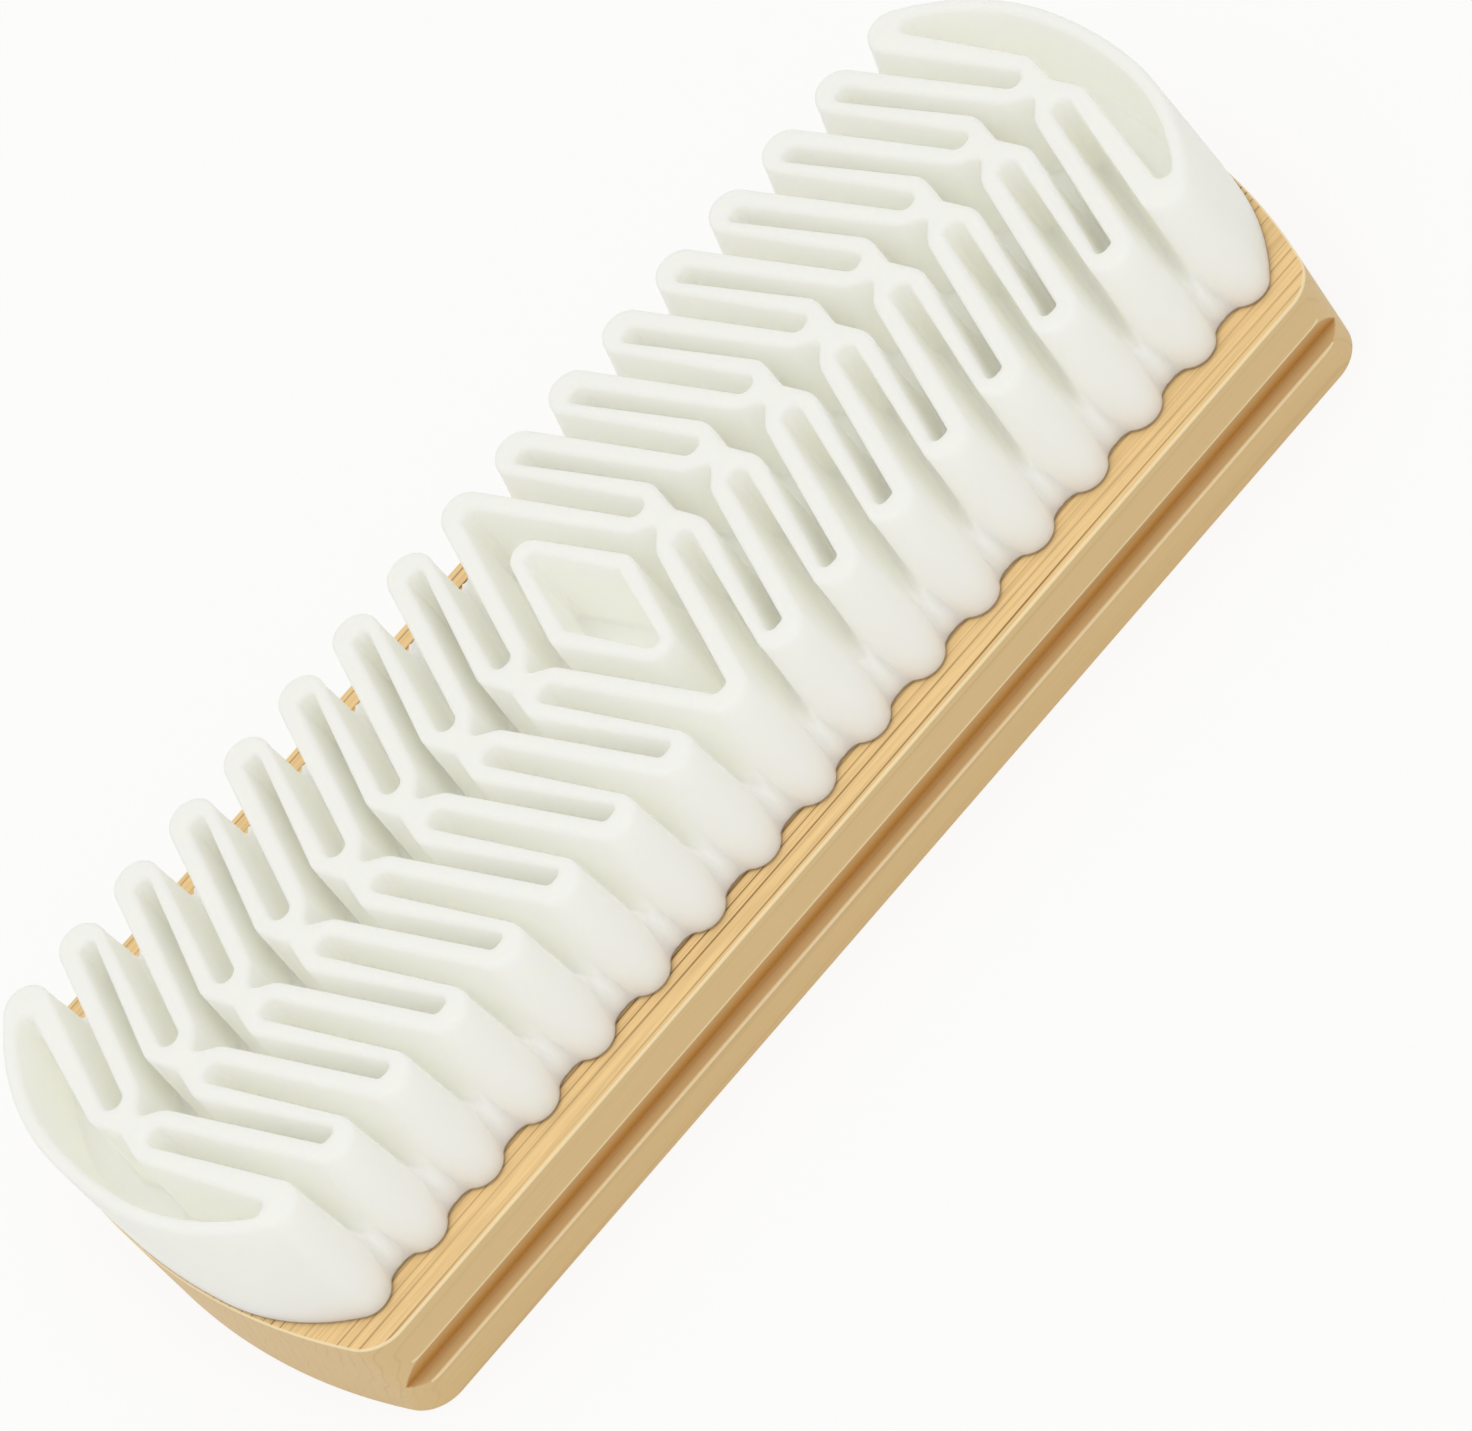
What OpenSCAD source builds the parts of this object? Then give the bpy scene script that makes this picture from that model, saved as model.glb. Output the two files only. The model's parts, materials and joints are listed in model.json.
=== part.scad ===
// Suede brush: a flat wooden block with a finger groove along each side, and a one-piece
// moulded rubber pad of V-shaped fins glued to its face.
// Millimetres. X runs along the brush, Y across it, Z up through the fins.
// The origin is the centre of the block's flat back, on which the brush rests.

/* [Wooden block] */
// Length of the block over its bowed ends
block_length = 150; // [130:1:180]
// Width of the block
block_width = 60.2; // [54:0.2:70]
// Thickness of the block
block_thickness = 12.9; // [10:0.1:20]
// How far each end bows out beyond the straight sides
end_bow = 6.5; // [4:0.5:8]
// Radius of the four upright corners
corner_radius = 4.8; // [4:0.2:9]

/* [Finger grooves] */
// Height of the groove's lower edge above the back
groove_rise = 4.2; // [3:0.1:5]
// Height of the groove's mouth
groove_height = 4.1; // [3:0.1:5]
// Depth of the groove into the side
groove_depth = 1.5; // [0.8:0.1:3]
// Height of the groove's deepest line above its lower edge
groove_ledge = 0.7; // [0.3:0.1:2]

/* [Adhesive] */
// Thickness of the adhesive bed between block and pad
bed_thickness = 0.2; // [0.1:0.05:0.5]
// How far the bed stays inside the webs and the end loops
bed_inset = 0.8; // [0.4:0.1:2]

/* [Pad foot] */
// Wood left showing between the fins' feet and the block's side
side_margin = 3.3; // [2:0.1:5]
// Radius of each fin's rounded foot
foot_radius = 2.6; // [2.2:0.1:3]
// How far the webs between the feet stand back from the feet
web_setback = 1.7; // [1:0.1:2.4]
// Height of the webs that join the fins at the foot
web_height = 4.5; // [3:0.1:6]
// Thickness of rubber left under the slots
slot_floor = 3; // [1:0.1:4]

/* [Fins] */
// Height of the pad from its underside to the rims
pad_height = 14.6; // [11:0.1:20]
// Distance from one fin tip to the next along the brush
fin_pitch = 8.08; // [7.8:0.02:8.6]
// How far a fin's tip leans in from its foot
fin_flare = 4; // [2:0.1:5]
// Radius of the fin tips at the rim
tip_radius = 2.6; // [2.4:0.1:2.9]
// How far a fin's elbow at the middle lies ahead of its tips
elbow_lead = 7.4; // [5:0.1:8.5]
// Thickness of the fin walls at the rim
wall = 1.75; // [1.4:0.05:2.1]
// How much thicker each wall face is at the foot than at the rim
draft = 0.35; // [0.1:0.05:0.6]
// Half length of the solid bridge between two elbows
bridge_reach = 2.75; // [2.5:0.05:4]

/* [Slots] */
// Rubber between a slot's end and the fin's tip
tip_wall = 2.7; // [1.8:0.1:3.5]
// Width of a slot at its ends
slot_tip_width = 1.7; // [1.4:0.1:2]
// Width of a slot near the elbow
slot_elbow_width = 2.5; // [2:0.1:2.9]
// Width of the pocket where a slot crosses the middle
notch_width = 5.4; // [4:0.1:6]
// Half length of that pocket
notch_reach = 2.3; // [1.5:0.1:2.7]
// Radius of that pocket's corners
notch_round = 0.5; // [0.4:0.05:0.8]

/* [Middle diamond] */
// Half length of the diamond across the brush
diamond_reach = 12; // [9:0.1:14]
// Half length of the diamond along the brush
diamond_lead = 5.7; // [5:0.1:6.2]
// Wall of the diamond at its four corners
diamond_wall = 1.8; // [1.4:0.1:2.4]
// Radius that rounds the diamond's corners
diamond_round = 0.8; // [0.5:0.1:1.2]

/* [End loops] */
// Wall of the end loops at the rim
loop_wall = 1.7; // [1.2:0.1:2.2]
// How far the loop's rim stays inside the block's end
loop_margin = 0.1; // [0:0.1:1]
// How square the loop's rim is: 2 is round, 4 nearly square
loop_bow = 2.6; // [2:0.1:4]
// How far the loop's foot stays inside the block's end
foot_margin = 0.2; // [0.2:0.1:1.5]
// How square the loop's foot is
foot_bow = 3.4; // [2:0.1:4]
// Shortest run from the last fin tips to the block's end
loop_run = 8; // [7:0.5:10]

/* [Hidden] */
slice_h = 0.01;
cut = 1;
fin_fn = 24;
loop_steps = 32;

// Block outline: an arc bows each end, and a corner circle touches both it and the side.
half_length = block_length / 2;
half_width = block_width / 2;
end_radius = (half_width * half_width + end_bow * end_bow) / (2 * end_bow);
end_centre = half_length - end_radius;
corner_y = half_width - corner_radius;
corner_x = end_centre + sqrt(pow(end_radius - corner_radius, 2) - corner_y * corner_y);
corner_angle = atan2(corner_y, corner_x - end_centre);

// Distances from the middle of the brush to its sides, outermost first
foot_reach = half_width - side_margin;
web_reach = foot_reach - web_setback;
tip_reach = foot_reach - fin_flare;
slot_reach = tip_reach - tip_wall;

// Fins between the middle and each end loop: as many as leave room for the loop
side_fins = floor((half_length - loop_run) / fin_pitch) - 1;
side_x = (side_fins + 1) * fin_pitch;
elbow_radius = (slot_elbow_width / 2 + wall) * cos(atan(elbow_lead / slot_reach));
pad_z = block_thickness + bed_thickness;

// Where a loop's rim and foot start, a share of the tip's radius inside the last tips,
// and how far they reach
loop_inset = 0.25;
loop_tip = [side_x + loop_inset * tip_radius, tip_reach - loop_inset * tip_radius];
loop_foot = [side_x + loop_inset * foot_radius, foot_reach - loop_inset * foot_radius];
loop_end = half_length - loop_margin;
foot_end = half_length - foot_margin;

// Points from p through [end, 0] to p mirrored in Y: they fall back from the end by a power
// of their distance from the middle.
function bow(p, end, power) =
    [for (i = [0 : loop_steps])
        let (share = 1 - 2 * i / loop_steps)
        [end - (end - p[0]) * pow(abs(share), power), p[1] * share]];

module four_ways() {
    for (mx = [0, 1], my = [0, 1])
        mirror([mx, 0, 0])
            mirror([0, my, 0])
                children();
}

module both_ends() {
    for (mx = [0, 1])
        mirror([mx, 0, 0])
            children();
}

// What a corner loses outside its circle, between the side and the bowed end
module corner_cut() {
    reach = 4 * corner_radius;
    middle = (90 + corner_angle) / 2;
    translate([corner_x, corner_y, -cut])
        linear_extrude(height = block_thickness + 2 * cut)
            difference() {
                polygon([
                    [0, 0],
                    [reach * cos(corner_angle), reach * sin(corner_angle)],
                    [2 * reach * cos(middle), 2 * reach * sin(middle)],
                    [0, reach]
                ]);
                circle(r = corner_radius, $fn = 96);
            }
}

// What an end loses outside its arc
module end_cut() {
    translate([end_centre, 0, -cut])
        linear_extrude(height = block_thickness + 2 * cut)
            difference() {
                translate([0, -half_width - cut])
                    square([end_radius + cut, block_width + 2 * cut]);
                circle(r = end_radius, $fn = 360);
            }
}

// One side's groove: a long upper flank down to a short ledge
module side_groove() {
    rotate([90, 0, 90])
        linear_extrude(height = block_length, center = true)
            polygon([
                [-half_width - cut, groove_rise],
                [-half_width, groove_rise],
                [-half_width + groove_depth, groove_rise + groove_ledge],
                [-half_width, groove_rise + groove_height],
                [-half_width - cut, groove_rise + groove_height]
            ]);
}

module wooden_block() {
    color("burlywood")
        difference() {
            translate([-half_length, -half_width, 0])
                cube([block_length, block_width, block_thickness]);
            both_ends()
                end_cut();
            four_ways()
                corner_cut();
            side_groove();
            mirror([0, 1, 0])
                side_groove();
        }
}

module adhesive_bed() {
    bed_y = web_reach - bed_inset;
    bed_end = foot_end - bed_inset;
    right = bow([side_x, bed_y], bed_end, foot_bow);
    left = [for (point = right) -point];
    color("ivory")
        translate([0, 0, block_thickness])
            linear_extrude(height = bed_thickness)
                polygon(concat(right, left));
}

// A round column from a slot's floor up through the rim, narrower at the floor
module slot_column(x, y, r) {
    translate([x, y, slot_floor])
        cylinder(h = pad_height - slot_floor + cut, r1 = r - draft, r2 = r, $fn = fin_fn);
}

// A thin round slice
module slice(x, y, z, r) {
    translate([x, y, z])
        cylinder(h = slice_h, r = r, $fn = fin_fn);
}

// Half of one V-shaped fin: from its tip, which flares out to a rounded foot, to the elbow
module arm(tip_x) {
    rim_z = pad_height - slice_h;
    hull() {
        slice(tip_x, tip_reach - tip_radius, rim_z, tip_radius);
        slice(tip_x, foot_reach - foot_radius, 0, foot_radius);
        slice(tip_x + elbow_lead, 0, rim_z, elbow_radius);
        slice(tip_x + elbow_lead, 0, 0, elbow_radius + draft);
    }
}

// Half of one V-shaped slot, narrowing towards its floor
module slot_arm(tip_x) {
    hull() {
        slot_column(tip_x, slot_reach - slot_tip_width / 2, slot_tip_width / 2);
        slot_column(tip_x + elbow_lead, 0, slot_elbow_width / 2);
    }
}

// Where a slot crosses the middle it opens into a small four-cornered pocket.
module notch(x) {
    along = notch_width / 2 - notch_round;
    across = notch_reach - notch_round;
    hull()
        for (s = [-1, 1]) {
            translate([x + s * along, 0, slot_floor])
                cylinder(h = pad_height - slot_floor + cut, r = notch_round, $fn = fin_fn);
            translate([x, s * across, slot_floor])
                cylinder(h = pad_height - slot_floor + cut, r = notch_round, $fn = fin_fn);
        }
}

// A four-cornered slice with rounded corners
module rhombus_slice(lead, reach, z) {
    for (s = [-1, 1]) {
        slice(s * (lead - diamond_round), 0, z, diamond_round);
        slice(0, s * (reach - diamond_round), z, diamond_round);
    }
}

// A four-cornered block whose foot is larger than its rim by grow on every side
module rhombus(lead, reach, z0, z1, grow) {
    hull() {
        rhombus_slice(lead + grow, reach + grow, z0);
        rhombus_slice(lead, reach, z1 - slice_h);
    }
}

// An end loop filled solid, from its foot to its rim
module loop_solid() {
    hull() {
        linear_extrude(height = slice_h)
            polygon(bow(loop_foot, foot_end, foot_bow));
        translate([0, 0, pad_height - slice_h])
            linear_extrude(height = slice_h)
                polygon(bow(loop_tip, loop_end, loop_bow));
    }
}

// The space inside an end loop, above the webs
module loop_inside() {
    start = [side_x, slot_reach];
    hull() {
        translate([0, 0, web_height])
            linear_extrude(height = slice_h)
                polygon(bow(start, loop_end - loop_wall - draft, loop_bow));
        translate([0, 0, pad_height])
            linear_extrude(height = cut)
                polygon(bow(start, loop_end - loop_wall, loop_bow));
    }
}

// The last fin is a single wall, which closes the loop, and has a full tip.
module last_arm() {
    rim_z = pad_height - slice_h;
    wall_r = wall / 2;
    elbow_x = side_x + elbow_lead - slot_elbow_width / 2 - wall_r;
    hull() {
        slice(side_x, tip_reach - tip_radius, rim_z, wall_r);
        slice(side_x, foot_reach - foot_radius, 0, foot_radius);
        slice(elbow_x, 0, rim_z, wall_r);
        slice(elbow_x, 0, 0, wall_r + draft);
    }
    hull() {
        slice(side_x, tip_reach - tip_radius, rim_z, tip_radius);
        slice(side_x, foot_reach - foot_radius, 0, foot_radius);
    }
}

// Foot plate that joins the fins: its edge slopes in as the fins do.
module foot_plate() {
    web_lean = fin_flare * web_height / pad_height;
    hull() {
        linear_extrude(height = slice_h)
            square([2 * side_x, 2 * web_reach], center = true);
        translate([0, 0, web_height - slice_h])
            linear_extrude(height = slice_h)
                square([2 * side_x, 2 * (web_reach - web_lean)], center = true);
    }
}

// Solid bar that joins neighbouring elbows before the slots cut it
module bridge_bar() {
    bar_x = side_x + elbow_lead - slot_elbow_width / 2 - wall;
    translate([-bar_x, -bridge_reach, 0])
        cube([2 * bar_x, 2 * bridge_reach, pad_height]);
}

module fins() {
    foot_plate();
    bridge_bar();
    four_ways() {
        for (k = [0 : side_fins])
            arm(k * fin_pitch);
        last_arm();
    }
    both_ends()
        difference() {
            loop_solid();
            loop_inside();
        }
}

module slots() {
    four_ways()
        for (k = [1 : side_fins])
            slot_arm(k * fin_pitch);
    both_ends()
        for (k = [1 : side_fins])
            notch(k * fin_pitch + elbow_lead);
    rhombus(elbow_lead + slot_elbow_width / 2, slot_reach, slot_floor, pad_height + cut, -draft);
}

module diamond() {
    difference() {
        rhombus(diamond_lead, diamond_reach, 0, pad_height, draft);
        rhombus(diamond_lead - diamond_wall, diamond_reach - diamond_wall, slot_floor,
            pad_height + cut, -draft);
    }
}

module rubber_pad() {
    color("ghostwhite")
        translate([0, 0, pad_z]) {
            difference() {
                fins();
                slots();
            }
            diamond();
        }
}

wooden_block();
adhesive_bed();
rubber_pad();
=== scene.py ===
"""A suede brush: a wooden block with a finger groove along each side carries a moulded white
rubber pad of V-shaped fins.

X runs along the brush, Y across it and Z up through the fins. All lengths are in metres.
"""

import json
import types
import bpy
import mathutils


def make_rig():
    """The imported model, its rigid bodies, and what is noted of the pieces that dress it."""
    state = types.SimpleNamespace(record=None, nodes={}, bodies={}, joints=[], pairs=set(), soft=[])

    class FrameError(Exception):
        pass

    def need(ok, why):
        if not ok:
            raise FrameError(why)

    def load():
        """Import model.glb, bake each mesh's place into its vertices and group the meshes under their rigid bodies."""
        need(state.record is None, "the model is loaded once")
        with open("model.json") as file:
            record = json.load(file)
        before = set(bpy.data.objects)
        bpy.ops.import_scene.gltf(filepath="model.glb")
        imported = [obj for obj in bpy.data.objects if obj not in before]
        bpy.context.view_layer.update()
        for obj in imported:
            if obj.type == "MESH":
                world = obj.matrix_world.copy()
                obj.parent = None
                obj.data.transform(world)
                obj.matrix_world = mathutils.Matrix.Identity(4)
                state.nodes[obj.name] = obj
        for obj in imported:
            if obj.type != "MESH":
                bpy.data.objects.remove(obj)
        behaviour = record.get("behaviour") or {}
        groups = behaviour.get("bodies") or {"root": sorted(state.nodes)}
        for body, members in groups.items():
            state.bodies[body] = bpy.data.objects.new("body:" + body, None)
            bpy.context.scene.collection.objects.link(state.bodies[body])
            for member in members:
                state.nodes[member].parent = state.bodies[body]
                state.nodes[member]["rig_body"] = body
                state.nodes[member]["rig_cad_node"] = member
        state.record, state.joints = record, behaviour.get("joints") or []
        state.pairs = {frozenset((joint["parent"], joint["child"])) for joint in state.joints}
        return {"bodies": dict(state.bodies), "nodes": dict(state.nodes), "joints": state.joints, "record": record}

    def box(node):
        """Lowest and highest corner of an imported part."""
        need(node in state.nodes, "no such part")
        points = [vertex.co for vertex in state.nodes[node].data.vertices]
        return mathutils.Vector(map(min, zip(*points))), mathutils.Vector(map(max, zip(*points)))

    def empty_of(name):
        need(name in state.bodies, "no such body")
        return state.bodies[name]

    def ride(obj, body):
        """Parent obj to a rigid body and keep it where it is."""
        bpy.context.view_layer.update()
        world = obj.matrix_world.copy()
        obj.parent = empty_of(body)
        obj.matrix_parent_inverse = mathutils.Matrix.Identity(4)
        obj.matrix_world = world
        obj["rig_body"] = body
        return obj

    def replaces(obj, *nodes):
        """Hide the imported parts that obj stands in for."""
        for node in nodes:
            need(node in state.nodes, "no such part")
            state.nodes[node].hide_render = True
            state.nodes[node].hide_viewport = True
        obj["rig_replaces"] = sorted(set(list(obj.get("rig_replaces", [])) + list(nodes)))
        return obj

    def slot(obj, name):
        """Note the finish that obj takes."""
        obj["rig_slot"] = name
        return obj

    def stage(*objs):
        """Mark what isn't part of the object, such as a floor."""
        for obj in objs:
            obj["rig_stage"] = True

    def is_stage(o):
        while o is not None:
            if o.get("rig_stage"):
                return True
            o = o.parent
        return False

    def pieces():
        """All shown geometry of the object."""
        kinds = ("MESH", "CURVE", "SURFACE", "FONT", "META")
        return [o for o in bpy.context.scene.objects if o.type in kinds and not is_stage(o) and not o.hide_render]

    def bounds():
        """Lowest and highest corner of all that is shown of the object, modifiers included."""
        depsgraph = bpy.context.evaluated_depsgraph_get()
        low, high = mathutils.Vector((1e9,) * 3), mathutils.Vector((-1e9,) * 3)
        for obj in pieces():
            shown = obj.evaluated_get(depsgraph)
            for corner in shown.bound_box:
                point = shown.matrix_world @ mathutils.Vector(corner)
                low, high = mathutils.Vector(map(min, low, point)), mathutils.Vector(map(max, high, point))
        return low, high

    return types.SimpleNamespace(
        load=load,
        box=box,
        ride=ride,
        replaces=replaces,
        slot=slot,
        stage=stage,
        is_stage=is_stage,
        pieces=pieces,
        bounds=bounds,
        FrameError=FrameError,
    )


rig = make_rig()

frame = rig.load()
cad_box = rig.bounds()

import json
import math

import bmesh
import bpy
import numpy as np
from bpy.props import FloatProperty, FloatVectorProperty, IntProperty, PointerProperty
from mathutils import Euler, Vector
from mathutils.geometry import tessellate_polygon

bl_info = {
    "name": "Suede brush",
    "version": (1, 0, 0),
    "blender": (4, 5, 0),
    "location": "View3D > Sidebar > Suede brush",
    "description": "Builds a suede brush with a wooden block and a rubber fin pad",
    "category": "Add Mesh",
}

MM = 0.001
FULL_TURN = 2 * math.pi
QUARTER = math.pi / 2

BLOCK_HIGH = np.array(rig.box("wooden_block")[1])
PAD_LOW, PAD_HIGH = (np.array(corner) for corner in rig.box("rubber_pad"))


def linear(hex_colour):
    """The linear red, green, blue and alpha of an sRGB hex colour such as #E3BC80."""
    values = [int(hex_colour[i:i + 2], 16) / 255 for i in (1, 3, 5)]
    return [v / 12.92 if v <= 0.04045 else ((v + 0.055) / 1.055) ** 2.4 for v in values] + [1.0]


def length(name, description, millimetres):
    """A length that the user can change."""
    return FloatProperty(name=name, description=description, default=millimetres * MM,
                         min=0.0, unit="LENGTH", precision=5)


def count(name, description, number):
    """A number of steps that the user can change."""
    return IntProperty(name=name, description=description, default=number, min=1)


def colour(name, description, hex_colour):
    """A colour that the user can change."""
    return FloatVectorProperty(name=name, description=description, subtype="COLOR", size=4,
                               min=0.0, max=1.0, default=linear(hex_colour))


class BrushBlockSizes(bpy.types.PropertyGroup):
    """Sizes of the wooden block."""
    end_bow: length("End bow", "How far each end bows out beyond the straight sides", 6.5)
    corner_radius: length("Corner radius", "Radius of the four upright corners", 4.8)
    arris: length("Arris", "Radius of the sanded edges", 0.22)
    groove_rise: length("Groove rise", "Height of the groove's lower edge above the back", 4.2)
    groove_height: length("Groove height", "Height of the groove's mouth", 4.1)
    groove_depth: length("Groove depth", "Depth of the groove into the side", 1.5)
    groove_ledge: length("Groove ledge", "Height of the deepest line above the lower edge", 0.7)
    groove_soft: length("Groove softness", "Width over which the groove's edges are sanded", 0.12)


class BrushPadSizes(bpy.types.PropertyGroup):
    """Sizes of the rubber pad."""
    pitch: length("Fin pitch", "Distance from one fin tip to the next", 8.08)
    side_fins: count("Side fins", "Fins between the middle one and each end loop", 7)
    flare: length("Flare", "How far a fin's tip leans in from its foot", 4.0)
    tip_radius: length("Tip radius", "Radius of the fin tips", 2.6)
    swell: length("Swell", "How much wider a fin's pillar is low down than at rim and foot", 0.55)
    pocket_lead: length("Pocket lead", "How far a pocket's inner end lies ahead of its fin", 9.9)
    pocket_reach: length("Pocket reach", "Distance from the middle to a pocket's inner end", 2.75)
    pocket_radius: length("Pocket radius", "Radius of a pocket's inner end", 1.1)
    pocket_floor: length("Pocket floor", "Height of the webs between the fins' feet", 4.4)
    pocket_dip: length("Pocket dip", "How much deeper the pockets are inside the webs", 1.2)
    web_setback: length("Web setback", "How far the webs stand back from the feet", 1.7)
    web_run: length("Web run", "How far in from its face a web's top becomes level", 3.2)
    loop_radius: length("Loop radius", "Outer radius of the wall round a pocket's inner end", 2.95)
    slot_reach: length("Slot reach", "Distance from the middle to a slot's outer end", 20.1)
    slot_width: length("Slot width", "Width of a slot at its outer end", 1.9)
    slot_round: length("Slot round", "Corner radius of a slot's outer end", 0.72)
    slot_floor: length("Slot floor", "Height of the slots' floor", 3.0)
    neck_far: length("Neck far side", "Where the neck between two loops ends, from its fin", 12.0)
    neck_width: length("Neck width", "Width of the neck between two loops", 2.7)
    diamond_reach: length("Diamond reach", "Half length of the diamond across the brush", 12.0)
    diamond_lead: length("Diamond lead", "Half length of the diamond along the brush", 5.75)
    diamond_wall: length("Diamond wall", "Wall of the diamond at its corners", 1.85)
    diamond_round: length("Diamond round", "Corner radius of the diamond", 2.0)
    hollow_round: length("Hollow round", "Corner radius of the diamond's hollow", 0.8)
    loop_wall: length("End loop wall", "Wall of the two end loops", 1.45)
    loop_lean: length("End loop lean", "How far an end loop's foot stands in from its rim", 0.1)
    loop_bow: length("End loop bow", "Radius of an end loop's rim across its end", 45.0)
    foot_bow: length("End loop foot bow", "Radius of an end loop's foot across its end", 70.0)
    loop_turn: length("End loop turn", "Radius of an end loop's rim towards the tips", 28.0)
    foot_turn: length("End loop foot turn", "Radius of an end loop's foot towards the tips", 26.0)
    rim: length("Rim", "Radius of the rounded rims", 0.6)
    draft: length("Draft", "How much a wall face thickens from rim to foot", 0.35)
    fillet: length("Fillet", "Radius between walls and floors", 0.9)


class BrushColours(bpy.types.PropertyGroup):
    """Colours of the brush and of its stage."""
    wood: colour("Wood", "Pale wood between the grain lines", "#FAD69B")
    grain: colour("Grain", "Darker latewood lines", "#80500E")
    # Painted shade: greys and darkens the block's sides below the top arris.
    side: colour("Side", "Tone that the sawn sides add", "#E5E7EC")
    # Painted shade inside the grooves, darkest along their deepest line.
    groove: colour("Groove", "Tone that the routed grooves add", "#DAB576")
    # Painted highlight along the top arris and the grooves' lips.
    edge: colour("Edge", "Sanded edges, paler than the faces", "#FFEBC4")
    rubber: colour("Rubber", "White moulded rubber", "#FEFEFC")
    rubber_deep: colour("Rubber tint", "Warm tint inside the rubber", "#FCFCF8")
    # Painted contact shadow round the foot of the rubber pad.
    contact_shadow: colour("Stain", "Stained edge of the rubber pad's foot", "#5A3A14")
    adhesive: colour("Adhesive", "Set adhesive", "#D8CDB4")
    floor: colour("Floor", "Plain pale floor", "#F4F4F2")


def direction(step):
    """Direction e from the centre at which an outline leaves one corner circle for the next.

    step is the next circle's centre x, centre y and radius less this one's. A point of the
    outline is its circle's centre plus its radius times e. The straight touches both circles at
    the same e, so the dot product of the centre's step and e is minus the radius's step.
    """
    gap = np.hypot(step[0], step[1])
    return np.arctan2(step[1], step[0]) - np.arccos(np.clip(-step[2] / gap, -1, 1))


def nodes_round(corners):
    """Nodes of a closed outline that runs counter-clockwise round corner circles.

    corners is (corner, x y radius, height), and a hollow corner has a negative radius. Each
    corner gives two nodes (x, y, radius, direction), where the outline reaches and leaves it,
    and the last node closes it.
    """
    leave = direction(np.moveaxis(np.roll(corners, -1, axis=0) - corners, 1, 0))
    reach = np.roll(leave, 1, axis=0)
    full = np.mod(leave - reach, FULL_TURN)
    hollow = -np.mod(reach - leave, FULL_TURN)
    sweep = np.where(corners[:, 2] > 0, full, hollow)
    passed = np.cumsum(sweep, axis=0)
    angles = np.stack([reach[0] + passed - sweep, reach[0] + passed], axis=1)
    circles = np.repeat(corners, 2, axis=0)
    nodes = np.concatenate([circles, angles.reshape(-1, 1, corners.shape[2])], axis=1)
    last = nodes[:1].copy()
    last[0, 3] = nodes[-1, 3]
    return np.concatenate([nodes, last])


def between(low, high, part, grow):
    """Points part of the way from the nodes low to the nodes high.

    Centre, radius and direction all run evenly from node to node, which gives an arc where the
    centre stays and a straight where the direction stays. grow moves the points outwards.
    """
    x, y, radius, angle = np.moveaxis(low * (1 - part) + high * part, 1, 0)
    return x + (radius + grow) * np.cos(angle), y + (radius + grow) * np.sin(angle)


def along(nodes, path, grow=0.0):
    """Points at path on the outline of nodes: node 3 is at path 3, and half way to node 4 is 3.5.

    The result is (x, y) as arrays of (place along the path, height).
    """
    at = np.clip(np.floor(path).astype(int), 0, len(nodes) - 2)
    return between(nodes[at], nodes[at + 1], (path - at)[:, None, None], grow)


def path_round(arc_steps, straight_steps):
    """Places along a closed outline: even steps round each arc and along the straight after it."""
    pieces = []
    for i, (arc, straight) in enumerate(zip(arc_steps, straight_steps)):
        pieces.append(2 * i + np.arange(arc) / arc)
        pieces.append(2 * i + 1 + np.arange(straight) / straight)
    return np.concatenate(pieces)


class Shell:
    """Collects vertices and faces of one closed surface."""

    def __init__(self):
        self.points = []
        self.faces = []
        self.size = 0

    def grid(self, points, closed=True, flip=False):
        """Adds a grid of points (place along a path, place down the profile, xyz) with a quad
        between each four neighbours. Returns the grid's vertex numbers."""
        columns, rows = points.shape[:2]
        numbers = self.size + np.arange(columns * rows).reshape(columns, rows)
        self.points.append(points.reshape(-1, 3))
        self.size += columns * rows
        ring = np.vstack([numbers, numbers[:1]]) if closed else numbers
        a, b, c, d = ring[:-1, :-1], ring[:-1, 1:], ring[1:, 1:], ring[1:, :-1]
        quads = np.stack([a, d, c, b] if flip else [a, b, c, d], axis=-1).reshape(-1, 4)
        self.faces += quads.tolist()
        return numbers

    def cap(self, loops, up=True):
        """Closes the flat face between an outer loop of vertex numbers and the holes in it.

        All its triangles turn one way, and those without an area are left out.
        """
        points = np.concatenate(self.points)
        outlines = [[Vector(points[n]) for n in loop] for loop in loops]
        numbers = np.concatenate(loops)
        faces = numbers[np.array(tessellate_polygon(outlines))]
        a, b, c = (points[faces[:, i], :2] for i in range(3))
        turn = (b[:, 0] - a[:, 0]) * (c[:, 1] - a[:, 1]) - (b[:, 1] - a[:, 1]) * (c[:, 0] - a[:, 0])
        if (turn.sum() > 0) != up:
            faces = faces[:, ::-1]
        self.faces += faces[turn != 0].tolist()

    def make(self, name):
        """Makes the object, with points that coincide merged and smooth shading."""
        mesh = bpy.data.meshes.new(name)
        mesh.from_pydata(np.concatenate(self.points), [], self.faces)
        merge_doubles(mesh)
        mesh.shade_smooth()
        piece = bpy.data.objects.new(name, mesh)
        bpy.context.scene.collection.objects.link(piece)
        return piece


def merge_doubles(mesh, within=0.001 * MM):
    """Merges the points of a mesh that lie within a micrometre of each other."""
    work = bmesh.new()
    work.from_mesh(mesh)
    bmesh.ops.remove_doubles(work, verts=work.verts, dist=within)
    work.to_mesh(mesh)
    work.free()


def quarter_turn(steps):
    """Angles from 0 to a quarter turn."""
    return np.linspace(0, QUARTER, steps)


def smooth(t):
    """Rises from 0 to 1 as t does, and is level at both ends."""
    t = np.clip(t, 0, 1)
    return t ** 2 * (3 - 2 * t)


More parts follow.
